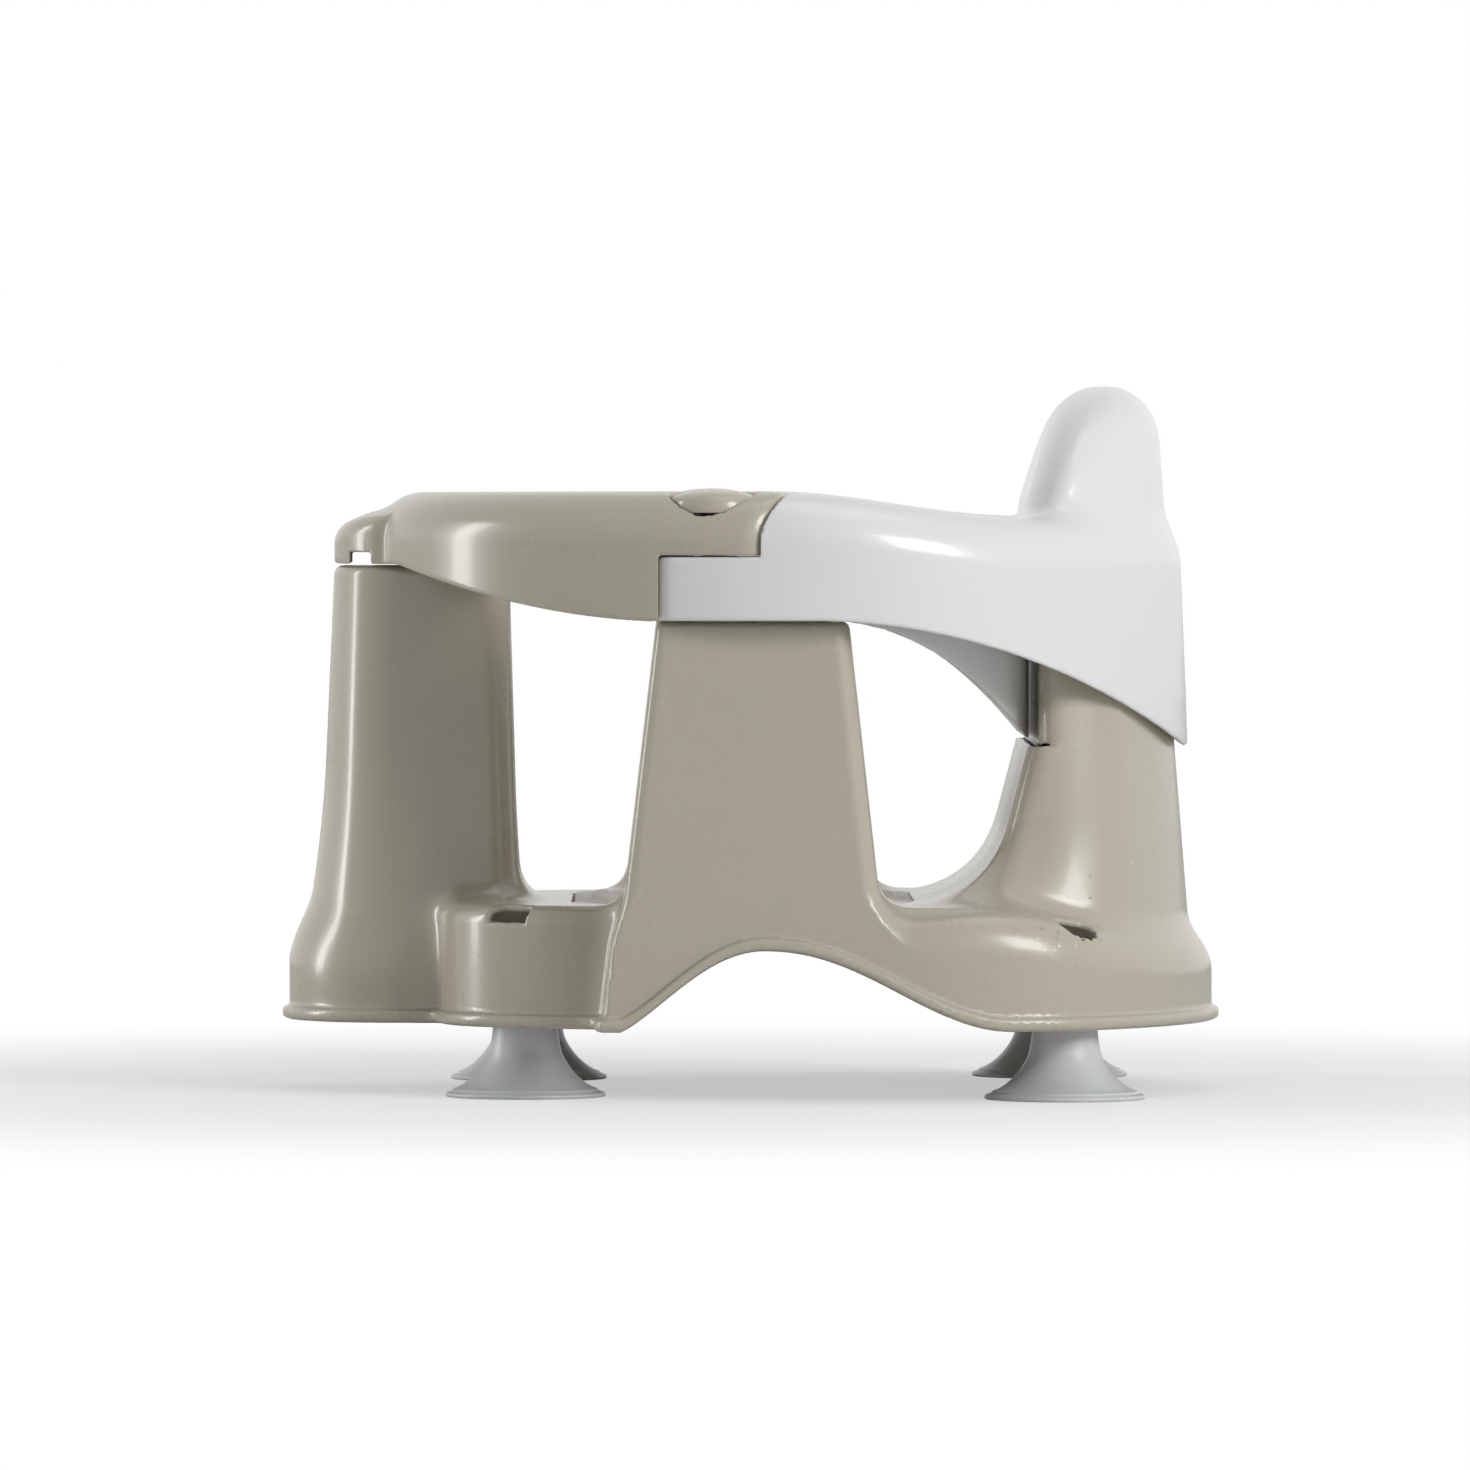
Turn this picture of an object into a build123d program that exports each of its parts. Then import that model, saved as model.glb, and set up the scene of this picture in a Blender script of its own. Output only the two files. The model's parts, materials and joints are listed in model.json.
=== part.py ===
from build123d import *
import math
import os

# Baby bath seat, millimetres. X runs across the seat, +X is the baby's left side.
# Y runs from the front post (-) to the backrest (+). Z is up from the bath floor.
# The origin lies on the floor, in the middle of the seat's length and width.

# Base moulding
wall = 2.6                 # skin of every moulded shell
rim_height = 27.0          # lower rim above the bath floor
seat_height = 73.0         # top of the seat plate
rear_radius = 177.3        # round rear wall, about the origin
rim_half_width = 145.0     # straight side walls
front_reach = 177.3        # front wall of the skirt, ahead of the origin
bead_height = 4.6          # rolled edge round the rim
bead_proud = 2.7
rear_shoulder = 19.0       # rounding along the top of the rear tub
front_shoulder = 6.0       # rounding along the top of the front box
arch_front = -50.0         # hand arch under each side wall
arch_back = 98.0
arch_crest_y = 4.0
arch_rise = 30.5

# Front box between the front post and the side posts
box_neck_x, box_neck_y = 50.0, -119.0
box_corner_x, box_corner_y = 84.0, -110.0
box_side_x, box_side_y = 113.0, -70.0
box_corner_radius = 20.0

# Front post
post_top = 200.8
post_half_width_top, post_half_width_foot = 37.0, 47.5
post_front_top, post_front_foot = -160.0, -172.6
post_rear_top, post_rear_foot = -93.0, -82.0
post_nose_depth = 20.0     # how far the round front stands ahead of the flat sides
post_rear_corner = 11.0

# Side posts
side_top = 180.6
side_front_top, side_front_foot = -36.0, -54.0
side_rear_top, side_rear_foot = 36.0, 53.0
side_outer_top = 142.5
side_inner_top, side_inner_foot = 115.0, 101.0
side_edge_radius = 4.0

# Rear column
column_shoulder_z = 133.4  # rebate that the back ring's inner wall closes on
column_tenon_top = 196.0
column_half_width_top, column_half_width_foot = 88.0, 106.0
column_face_y = 104.5      # flat face behind the baby's back
column_outer_shrink = 3.2  # column's back inside the ring's outer wall
column_draft = 0.079
column_corner = 10.0

# Seat ring: white back half, taupe front bar
ring_centre_y = 11.0
ring_radius = 155.0
ring_bottom = 181.0
ring_top = 229.0
ring_shoulder = 15.0
ring_inner_round = 7.0
opening_half_width = 110.0
opening_front, opening_back = -90.0, 105.0
opening_front_radius, opening_back_radius = 96.0, 60.0
back_dip_start = 20.0      # where the ring's lower edge starts to fall towards the back
back_bottom = 134.0
top_fall_start, top_fall = 10.0, 9.5
bar_front_bottom = 201.5   # bar's lower edge over the front post
bar_flat_half_width = 52.0
bar_inner_bottom = 203.0   # bar's short inner wall, which swings over the front post
headrest_half_width = 89.0
headrest_top = 269.6

# Half laps between the bar and the ring
knuckle_y = -14.6
lap_z = 205.0
lap_gap = 0.5
tongue_radius = 25.0
bar_end_radius = 27.0
running_gap = 1.0          # round the knuckles
fit_gap = 0.3              # between pieces that slide or drop into each other

# Nose of the bar over the front post
nose_half_width = 37.0
nose_front = -160.0
nose_top = 223.5
nose_slot_y, nose_slot_width, nose_slot_height = -149.5, 8.0, 4.5

# Round button and hinge cap
button_radius = 17.0
button_top = 230.2
button_skirt_bottom = 221.5
button_travel = 5.0
stem_radius = 4.5
collar_radius = 9.5
pin_radius = 4.0
pin_bottom = 186.5
pin_head_radius = 7.0
bush_radius = 6.5
bush_flange_radius = 8.4
bush_bottom = 190.0
stem_bottom = 196.0
stem_boss_top = 210.4
collar_top, collar_thickness = 205.2, 3.0
spring_radius, spring_wire, spring_turns = 8.2, 1.2, 4.5

# Suction cups
cup_radius = 30.5
cup_neck_radius = 12.3
cup_head_radius = 10.2
cup_groove_radius = 8.6
cup_dome_height = 13.0
front_cup_x, front_cup_y = 79.0, -86.0
rear_cup_x, rear_cup_y = 103.0, 118.0
socket_radius = 15.5
socket_bore = 12.8
socket_web_z, socket_web_thickness = 34.0, 3.0

# Holes in the shoulders above the cups
hole_length, hole_width = 22.0, 11.0
front_hole_x, front_hole_y, front_hole_turn, front_hole_floor = 93.0, -91.0, 54.0, 67.5
rear_hole_x, rear_hole_y, rear_hole_turn, rear_hole_floor = 113.0, 122.5, -42.0, 52.0

# Fasteners
screw_radius, screw_head_radius, screw_length = 2.0, 3.8, 14.0
boss_radius = 4.6
side_screw_ys = (6.0, 25.0)   # one under the tongue, one behind the step
column_screw_x, column_screw_y = 55.0, 133.0

# Seat mat and drain holes
mat_thickness = 2.0
mat_proud = 0.6
mat_half_width, mat_front, mat_back, mat_corner = 78.0, -68.0, 62.0, 26.0
drain_radius = 4.0
drain_pitch = 44.0

knuckle_x = (math.sqrt(ring_radius**2 - (knuckle_y - ring_centre_y) ** 2) + opening_half_width) / 2
bar_lap_z = lap_z + lap_gap


def mirrored(shape):
    """The shape and its twin on the other side of the seat."""
    return shape + mirror(shape, Plane.YZ)


def across(face_yz, half_width):
    """Extrudes a face drawn in the YZ plane right across the seat."""
    return extrude(face_yz, half_width, both=True)


def disc(x, y, radius, low, high):
    return Pos(x, y, low) * Cylinder(radius, high - low, align=(Align.CENTER, Align.CENTER, Align.MIN))


def block(x0, x1, y0, y1, z0, z1):
    low = (Align.MIN, Align.MIN, Align.MIN)
    return Pos(x0, y0, z0) * Box(x1 - x0, y1 - y0, z1 - z0, align=low)


def rear_tub(inset):
    """Round rear half of the skirt, from the side posts' front to the rear wall."""
    side = rim_half_width - inset
    radius = rear_radius - inset
    corner_y = math.sqrt(radius**2 - side**2)
    front = side_front_foot + inset
    outline = Polyline((-side, corner_y), (-side, front), (side, front), (side, corner_y))
    back = ThreePointArc((side, corner_y), (0, radius), (-side, corner_y))
    plan = make_face(outline + back)
    tub = Pos(0, 0, rim_height) * extrude(plan, seat_height - inset - rim_height)
    top = tub.faces().sort_by(Axis.Z)[-1]
    rounded = [e for e in top.edges() if e.center().Y > front + 1]
    return fillet(rounded, rear_shoulder - inset)


def front_box(inset):
    """Low box that carries the front post and the front suction cups."""
    nose = -front_reach + inset
    nose_side = post_half_width_foot - inset
    shoulder_y = nose + post_nose_depth + 6
    points = [
        (nose_side, shoulder_y),
        (box_neck_x - inset, box_neck_y + inset),
        (box_corner_x - inset, box_corner_y + inset),
        (box_side_x - inset, box_side_y),
        (box_side_x - inset, 0),
    ]
    right = Polyline(*points)
    left = Polyline(*[(-x, y) for x, y in points])
    front = ThreePointArc((-nose_side, shoulder_y), (0, nose), (nose_side, shoulder_y))
    back = Line((box_side_x - inset, 0), (-box_side_x + inset, 0))
    plan = make_face(right + left + front + back)
    box = Pos(0, 0, rim_height) * extrude(plan, seat_height - inset - rim_height)
    upright = box.edges().filter_by(Axis.Z)
    corners = [
        e for e in upright
        if abs(abs(e.center().X) - box_corner_x) < inset + 1 or abs(e.center().Y - box_side_y) < 1
    ]
    box = fillet(corners, box_corner_radius - inset)
    top = box.faces().sort_by(Axis.Z)[-1]
    rounded = [e for e in top.edges() if e.center().Y < -1]
    return fillet(rounded, front_shoulder - min(inset, front_shoulder / 2))


def post_section(half_width, front, rear, z):
    """Front post's plan: round in front, flat sides, soft rear corners."""
    side_y = front + post_nose_depth
    corner = post_rear_corner
    lines = ThreePointArc((-half_width, side_y), (0, front), (half_width, side_y))
    lines += Line((half_width, side_y), (half_width, rear - corner))
    lines += RadiusArc((half_width, rear - corner), (half_width - corner, rear), -corner)
    lines += Line((half_width - corner, rear), (-half_width + corner, rear))
    lines += RadiusArc((-half_width + corner, rear), (-half_width, rear - corner), -corner)
    lines += Line((-half_width, rear - corner), (-half_width, side_y))
    return Pos(0, 0, z) * make_face(lines)


def front_post(inset):
    foot = post_section(post_half_width_foot - inset, post_front_foot + inset, post_rear_foot - inset, rim_height)
    top = post_section(post_half_width_top - inset, post_front_top + inset, post_rear_top - inset, post_top - inset)
    return loft([foot, top], ruled=True)


def side_post(inset):
    """Post under the ring's side, on the +X side."""
    def section(inner, outer, front, rear, z):
        plan = Pos((inner + outer) / 2, (front + rear) / 2, z) * Rectangle(outer - inner, rear - front)
        return plan

    foot = section(
        side_inner_foot + inset, rim_half_width - inset, side_front_foot + inset, side_rear_foot - inset, rim_height
    )
    top = section(
        side_inner_top + inset, side_outer_top - inset, side_front_top + inset, side_rear_top - inset, side_top - inset
    )
    post = loft([foot, top], ruled=True)
    leaning = [e for e in post.edges() if abs(e.tangent_at(0.5).Z) > 0.9]
    return fillet(leaning, side_edge_radius - inset / 2)


def column_radius(z):
    """Outer radius of the rear column, about the ring's centre."""
    return ring_radius - column_outer_shrink - column_draft * (z - back_bottom)


def rear_column(inset):
    """Hollow backrest column with the flat face towards the seat."""
    def section(half_width, face_y, radius, z):
        side_y = ring_centre_y + math.sqrt(radius**2 - half_width**2)
        lines = Line((-half_width, face_y), (half_width, face_y))
        lines += Line((half_width, face_y), (half_width, side_y))
        lines += ThreePointArc((half_width, side_y), (0, ring_centre_y + radius), (-half_width, side_y))
        lines += Line((-half_width, side_y), (-half_width, face_y))
        return Pos(0, 0, z) * make_face(lines)

    def half_width_at(z):
        share = (z - rim_height) / (column_tenon_top - rim_height)
        return column_half_width_foot + share * (column_half_width_top - column_half_width_foot)

    def upright(low, high, face_y):
        ends = [
            section(half_width_at(z) - inset, face_y + inset, column_radius(z) - inset, z) for z in (low, high)
        ]
        piece = loft(ends, ruled=True)
        standing = [e for e in piece.edges() if abs(e.tangent_at(0.5).Z) > 0.9]
        return fillet(standing, column_corner - inset)

    tenon_face = opening_back + wall + fit_gap
    foot = upright(rim_height, column_shoulder_z - inset, column_face_y)
    tenon = upright(column_shoulder_z - inset, column_tenon_top - inset, tenon_face)
    return foot + tenon


def base_form(inset):
    """The base as one filled mass. The cavity is the same mass, a wall smaller all round."""
    form = rear_tub(inset) + front_box(inset)
    form += front_post(inset)
    form += mirrored(side_post(inset))
    form += rear_column(inset)
    return form


def rim_profile(rise):
    """Lower edge of the rim, seen from the side, lifted by rise."""
    low = rim_height + rise
    reach = rear_radius + 20
    points = [
        (arch_front, low),
        (arch_front + 23, low + 0.66 * arch_rise),
        (arch_crest_y, low + arch_rise),
        (arch_crest_y + 36, low + 0.66 * arch_rise),
        (arch_back - 24, low + 0.15 * arch_rise),
        (arch_back, low),
    ]
    edge = Line((-reach, low), points[0])
    edge += Spline(*points, tangents=[(0.72, 0.7), (1, 0)])
    edge += Line(points[-1], (reach, low))
    return edge, reach, low


def under_rim(rise):
    """Everything below the rim's lower edge, lifted by rise."""
    edge, reach, low = rim_profile(rise)
    floor = -10.0
    edge += Polyline((reach, low), (reach, floor), (-reach, floor), (-reach, low))
    return across(Plane.YZ * make_face(edge), rim_half_width + 20)


def cup_socket(x, y):
    """Tube with a pierced web that the cup's stem snaps into."""
    tube = disc(x, y, socket_radius, rim_height + 2, seat_height - wall)
    bore = disc(x, y, socket_bore, rim_height, seat_height - wall)
    web = disc(x, y, socket_bore + 0.5, socket_web_z, socket_web_z + socket_web_thickness)
    hole = disc(x, y, cup_groove_radius + fit_gap, rim_height, seat_height - wall)
    return tube - bore + (web - hole)


def shoulder_hole(x, y, turn, floor):
    """Long rounded hole in the shoulder above a suction cup."""
    slot = extrude(SlotOverall(hole_length, hole_width), seat_height)
    return Pos(x, y, floor) * Rot(0, 0, turn) * slot


def rolled_edge():
    """Bead that follows the rim and climbs over the hand arches."""
    band = under_rim(bead_height) - under_rim(0) - disc(0, 0, 2 * rear_radius, -20, rim_height)
    return (front_box(-bead_proud) + rear_tub(-bead_proud)) & band


def make_base():
    """The whole taupe moulding: one thin skin, open from below."""
    shell = base_form(0) + rolled_edge()
    shell = shell - base_form(wall) - under_rim(0) - disc(0, 0, 2 * rear_radius, -5, rim_height)
    sockets = cup_socket(front_cup_x, front_cup_y) + cup_socket(rear_cup_x, rear_cup_y)
    shell += mirrored(sockets) & base_form(wall / 2)
    shell -= mirrored(shoulder_hole(front_hole_x, front_hole_y, front_hole_turn, front_hole_floor))
    shell -= mirrored(shoulder_hole(rear_hole_x, rear_hole_y, rear_hole_turn, rear_hole_floor))
    shell -= mat_recess()
    for column in (-1, 0, 1):
        for row in (-1, 0, 1):
            shell -= disc(column * drain_pitch, mat_middle_y + row * drain_pitch, drain_radius, 40, 90)
    for y in side_screw_ys:
        shell -= mirrored(disc(knuckle_x, y, screw_radius + fit_gap, side_top - 2 * wall, side_top + 1))
    top = column_tenon_top
    shell -= mirrored(disc(column_screw_x, column_screw_y, screw_radius + fit_gap, top - 2 * wall, top + 1))
    return shell


mat_middle_y = (mat_front + mat_back) / 2


def mat_plan(inset):
    return RectangleRounded(
        2 * (mat_half_width - inset), mat_back - mat_front - 2 * inset, mat_corner - inset
    )


def mat_recess():
    depth = mat_thickness - mat_proud
    return Pos(0, mat_middle_y, seat_height - depth) * extrude(mat_plan(0), depth + 1)


def make_mat():
    """Soft non-slip mat, dropped into its recess and pierced over the drain holes."""
    low = seat_height - mat_thickness + mat_proud
    mat = Pos(0, mat_middle_y, low) * extrude(mat_plan(fit_gap), mat_thickness)
    for column in (-1, 0, 1):
        for row in (-1, 0, 1):
            mat -= disc(column * drain_pitch, mat_middle_y + row * drain_pitch, drain_radius + 1, 40, 90)
    return mat


def make_cup(x, y):
    """Suction cup: thin trumpet with a lip, a grooved stem and a snap head."""
    web_top = socket_web_z + socket_web_thickness
    profile = Polyline((0, cup_dome_height), (5, cup_dome_height - 0.6))
    profile += Spline((5, cup_dome_height - 0.6), (18, 6.4), (cup_radius - 3, 0.0))
    profile += Polyline((cup_radius - 3, 0), (cup_radius, 0), (cup_radius, 1.4), (cup_radius - 1.4, 2.4))
    profile += Spline(
        (cup_radius - 1.4, 2.4), (21, 7.5), (14.6, 15.5), (cup_neck_radius, 24),
        tangents=[(-1, 0.1), (-0.05, 1)],
    )
    profile += Polyline(
        (cup_neck_radius, 24), (cup_neck_radius, socket_web_z - fit_gap),
        (cup_groove_radius, socket_web_z - fit_gap), (cup_groove_radius, web_top + fit_gap),
        (cup_head_radius, web_top + fit_gap), (cup_head_radius, web_top + 2), (6, web_top + 6),
        (0, web_top + 6), (0, cup_dome_height),
    )
    return Pos(x, y, 0) * revolve(Plane.XZ * make_face(profile), Axis.Z)


def opening_plan(grow):
    """The hole that the baby sits in, grown towards the ring's skin."""
    half = opening_half_width + grow
    front, back = opening_front - grow, opening_back + grow
    plan = Pos(0, (front + back) / 2) * Rectangle(2 * half, back - front)
    fore = [v for v in plan.vertices() if v.Y < 0]
    plan = fillet(fore, opening_front_radius + grow)
    return fillet([v for v in plan.vertices() if v.Y > 0 and abs(abs(v.X) - half) < 1e-6
                   and abs(v.Y - back) < 1e-6], opening_back_radius + grow)


def ring_channel(inset, top):
    """Closed band of the ring, without its ends and its lower edge."""
    outer = Pos(0, ring_centre_y) * Circle(ring_radius - inset)
    band = extrude(outer - opening_plan(inset), top - inset - 120)
    band = Pos(0, 0, 120) * band
    upper = band.faces().sort_by(Axis.Z)[-1]
    band = fillet(upper.outer_wire().edges(), ring_shoulder - inset)
    upper = band.faces().sort_by(Axis.Z)[-1]
    return fillet(upper.inner_wires()[0].edges(), ring_inner_round - inset)


def half_space(y_low, y_high, z_low, z_high):
    return block(-200, 200, y_low, y_high, z_low, z_high)


def knuckles(radius, low, high):
    return mirrored(disc(knuckle_x, knuckle_y, radius, low, high))


def below(edge, floor=100.0):
    """Everything under a side-view edge that runs from front to back."""
    front, rear = edge @ 0, edge @ 1
    edge += Polyline((rear.X, rear.Y), (rear.X, floor), (front.X, floor), (front.X, front.Y))
    return across(Plane.YZ * make_face(edge), 200)


def inner_skin():
    """Prism that holds the ring's inner wall, round the opening."""
    return Pos(0, 0, 90) * extrude(opening_plan(wall + 0.01), 200)


def under_ring():
    """Lower edge of the white half: the outer wall sweeps down to the column, the inner wall drops later."""
    rear = ring_centre_y + ring_radius
    drop, run = ring_bottom - back_bottom, rear - back_dip_start
    radius = (run**2 + drop**2) / (2 * drop)
    half = math.asin(run / radius) / 2
    middle = (back_dip_start + radius * math.sin(half), ring_bottom - radius * (1 - math.cos(half)))
    outer = Line((-200, ring_bottom), (back_dip_start, ring_bottom))
    outer += ThreePointArc((back_dip_start, ring_bottom), middle, (rear, back_bottom))
    outer += Line((rear, back_bottom), (rear + 20, back_bottom))
    inner = Line((-200, ring_bottom), (back_dip_start, ring_bottom))
    inner += Spline(
        (back_dip_start, ring_bottom), (62, 172), (88, 154), (opening_back + 1, column_shoulder_z),
        tangents=[(1, 0), (0.45, -0.9)],
    )
    inner += Line((opening_back + 1, column_shoulder_z), (rear + 20, column_shoulder_z))
    skin = inner_skin()
    return (below(outer) - skin) + (below(inner) & skin)


def over_ring(inset):
    """Everything above the white half's top, which falls a little towards the back."""
    rear = ring_centre_y + ring_radius
    level, low = ring_top - inset, ring_top - top_fall - inset
    top = Line((-200, level), (top_fall_start, level))
    top += Spline((top_fall_start, level), (rear - 50, low), tangents=[(1, 0), (1, -0.02)])
    top += Line((rear - 50, low), (rear + 20, low))
    return below(top)


def white_reach(inset):
    """Space of the white half at its half laps: a round tongue below, a round step above."""
    plane = lap_z - inset
    low = half_space(knuckle_y, 200, 90, plane) + knuckles(tongue_radius - inset, 90, plane)
    step = bar_end_radius + running_gap + inset
    return low + (half_space(knuckle_y, 200, plane, 300) - knuckles(step, plane - 1, 300))


def bar_reach(inset):
    """Space of the bar at its half laps: a round end above, a round seat below."""
    plane = bar_lap_z + inset
    high = half_space(-200, knuckle_y, plane, 300) + knuckles(bar_end_radius - inset, plane, 300)
    seat = tongue_radius + running_gap + inset
    return high + (half_space(-200, knuckle_y, 90, plane) - knuckles(seat, 90, plane + 1))


def headrest(inset):
    """Arched headrest that rises out of the back of the ring."""
    base_z = 200.0
    side = Line((column_face_y + inset, base_z - 40), (column_face_y + inset, 222))
    side += Spline(
        (column_face_y + inset, 222), (111.7 + inset, 247.7), (122 + inset, 264.5 - inset),
        (135, headrest_top - inset),
        (148 - inset, 263.3 - inset), (156.2 - inset, 247), (158.2 - inset, 232), (163.2 - inset, 210),
        (165.8 - inset, base_z - 40),
        tangents=[(0, 1), (0.04, -1)],
    )
    side += Line((165.8 - inset, base_z - 40), (column_face_y + inset, base_z - 40))
    slab = across(Plane.YZ * make_face(side), headrest_half_width + 40)
    half = headrest_half_width - inset
    height = headrest_top - 212 - inset
    arch = Pos(0, 212) * Ellipse(half + 2, height) + Pos(0, 186) * Rectangle(2 * (half + 2), 52)
    front_view = Plane.XZ.offset(-200) * arch
    return slab & extrude(front_view, 200) & disc(0, ring_centre_y, ring_radius - inset, 120, 300)


def make_back_ring():
    """White half of the ring with the headrest, open from below."""
    skin = (ring_channel(0, ring_top) & over_ring(0)) + headrest(0)
    hollow = (ring_channel(wall, ring_top) & over_ring(wall)) + headrest(wall)
    hollow += block(-60, 60, column_face_y + wall, 150, 90, 205) & extrude(
        Pos(0, ring_centre_y, 90) * Circle(ring_radius - wall), 150
    )
    shell = (skin & white_reach(0)) - (hollow & white_reach(wall)) - under_ring()
    for y, ceiling in zip(side_screw_ys, (lap_z, ring_top)):
        boss = disc(knuckle_x, y, boss_radius, side_top, ceiling - wall / 2)
        shell += mirrored(boss)
        shell -= mirrored(disc(knuckle_x, y, screw_radius + 0.05, side_top - 1, side_top + screw_length))
    low = column_tenon_top
    web = block(column_screw_x - 1.3, column_screw_x + 1.3, opening_back, 162, low + fit_gap, low + 40)
    boss = disc(column_screw_x, column_screw_y, boss_radius, low, low + 18)
    shell += mirrored((web + boss) & headrest(wall / 2))
    shell -= mirrored(disc(column_screw_x, column_screw_y, screw_radius + 0.05, low - 1, low + screw_length))
    barrel = disc(-knuckle_x, knuckle_y, bush_radius + 2.4, bush_bottom, lap_z - wall / 2)
    shell += barrel
    shell -= disc(-knuckle_x, knuckle_y, bush_radius + 0.15, bush_bottom - 1, lap_z + 1)
    shell -= disc(-knuckle_x, knuckle_y, bush_flange_radius + fit_gap, lap_z - 1.0, lap_z + 1)
    return shell - keyhole()


def keyhole():
    """T-slot in the +X tongue: the collar locks in the round hole and leaves below it when pressed."""
    front = knuckle_y - tongue_radius - 1
    hole = disc(knuckle_x, knuckle_y, collar_radius + 0.5, lap_z - wall - 1, lap_z + 1)
    neck = block(
        knuckle_x - stem_radius - 0.5, knuckle_x + stem_radius + 0.5, front, knuckle_y,
        stem_bottom - button_travel - 1, lap_z + 1,
    )
    room = collar_radius + 0.8
    passage = block(
        knuckle_x - room, knuckle_x + room, front, knuckle_y - 5,
        collar_top - collar_thickness - button_travel - 0.8, lap_z - wall,
    )
    return hole + neck + passage


def under_bar():
    """Lower edge of the bar: shallow over the front post, deep towards the laps."""
    flat = ring_centre_y - math.sqrt(ring_radius**2 - bar_flat_half_width**2)
    outer = Line((-200, bar_front_bottom), (flat, bar_front_bottom))
    outer += Spline(
        (flat, bar_front_bottom), (-108, 190.6), (-78, 184.2), (-30, ring_bottom - 0.4),
        tangents=[(1, -0.42), (1, 0)],
    )
    outer += Line((-30, ring_bottom - 0.4), (60, ring_bottom - 0.4))
    inner = Polyline((-200, bar_inner_bottom), (-52, bar_inner_bottom), (-36, ring_bottom - 0.4),
                     (60, ring_bottom - 0.4))
    skin = inner_skin()
    return (below(outer) - skin) + (below(inner) & skin)


def nose(inset):
    """Hood on the front of the bar that drops over the post's top."""
    plan = post_section(nose_half_width - inset, nose_front + inset, opening_front - 8 - inset, bar_front_bottom)
    prism = extrude(plan, 40) + Pos(0, 0, -20) * extrude(plan, 20)
    crown = Polyline((nose_front - 5, 205 - inset), (nose_front + inset, 205 - inset),
                     (nose_front + inset, 211 - inset))
    crown += Spline(
        (nose_front + inset, 211 - inset), (-155.5, 218.2 - inset), (-140, nose_top - inset), (-122, ring_top - 1 - inset),
        tangents=[(0.1, 1), (1, 0.12)],
    )
    crown += Line((-122, ring_top - 1 - inset), (-60, ring_top - 1 - inset))
    return prism & below(crown)


def make_front_bar():
    """Taupe bar: hollow arc with the hood in front and a round half-lap end on each side."""
    skin = (ring_channel(0, ring_top) & bar_reach(0)) + nose(0)
    hollow = (ring_channel(wall, ring_top) & bar_reach(wall)) + nose(wall)
    bar = skin - hollow - under_bar()
    slot = block(-60, 60, nose_slot_y - nose_slot_width / 2, nose_slot_y + nose_slot_width / 2,
                 bar_front_bottom - 1, bar_front_bottom + nose_slot_height)
    bar -= slot
    floor = bar_lap_z + wall
    boss = disc(knuckle_x, knuckle_y, stem_radius + 2.4, floor - 1, stem_boss_top)
    bar += mirrored(boss)
    well = button_skirt_bottom - button_travel - 0.5
    bar -= mirrored(disc(knuckle_x, knuckle_y, button_radius + fit_gap, well, ring_top + 2))
    bar -= disc(knuckle_x, knuckle_y, stem_radius + 0.2, bar_lap_z - 1, stem_boss_top + 1)
    bar -= disc(-knuckle_x, knuckle_y, pin_radius + 0.1, bar_lap_z - 1, stem_boss_top + 1)
    return bar


def round_cap(x, tube_bottom, tube_bore):
    """Domed round cap with a skirt and a socket tube, used as button and as hinge cap."""
    edge = 4.5
    top = button_top
    profile = Line((0, top), (button_radius - edge - 4, top - 0.5))
    profile += Spline(
        (button_radius - edge - 4, top - 0.5), (button_radius - 1.6, top - 2.4), (button_radius, top - edge - 1),
        tangents=[(1, -0.08), (0, -1)],
    )
    inner = button_radius - 2.2
    profile += Polyline(
        (button_radius, top - edge - 1), (button_radius, button_skirt_bottom), (inner, button_skirt_bottom),
        (inner, top - 6), (inner - 3, top - 3.6), (0, top - 3.6), (0, top),
    )
    cap = revolve(Plane.XZ * make_face(profile), Axis.Z)
    tube = disc(0, 0, tube_bore + 2.0, tube_bottom, top - 3)
    cap += tube
    cap -= disc(0, 0, tube_bore, tube_bottom - 1, top - 4.5)
    return Pos(x, knuckle_y, 0) * cap


def make_plunger():
    top = button_top - 5.0
    stem = disc(knuckle_x, knuckle_y, stem_radius, stem_bottom, top)
    return stem + disc(knuckle_x, knuckle_y, collar_radius, collar_top - collar_thickness, collar_top)


def make_spring():
    low = bar_lap_z + wall + spring_wire / 2 + 0.1
    high = button_top - 3.6 - spring_wire / 2 - 0.1
    height = high - low
    path = Helix(height / spring_turns, height, spring_radius)
    coil = sweep((path ^ 0) * Circle(spring_wire / 2), path=path)
    return Pos(knuckle_x, knuckle_y, low) * coil


def make_pin():
    head = disc(-knuckle_x, knuckle_y, pin_head_radius, stem_boss_top + 0.1, stem_boss_top + 2.6)
    return head + disc(-knuckle_x, knuckle_y, pin_radius, pin_bottom, stem_boss_top + 1)


def make_bush():
    bush = disc(-knuckle_x, knuckle_y, bush_radius, bush_bottom, lap_z)
    bush += disc(-knuckle_x, knuckle_y, bush_flange_radius, lap_z - 0.9, lap_z + 0.2)
    return bush - disc(-knuckle_x, knuckle_y, pin_radius + 0.15, bush_bottom - 1, lap_z + 1)


def make_washer():
    ring = disc(-knuckle_x, knuckle_y, bush_radius + 1.8, bush_bottom - 1.2, bush_bottom - 0.2)
    return ring - disc(-knuckle_x, knuckle_y, pin_radius + 0.15, bush_bottom - 2, bush_bottom)


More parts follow.
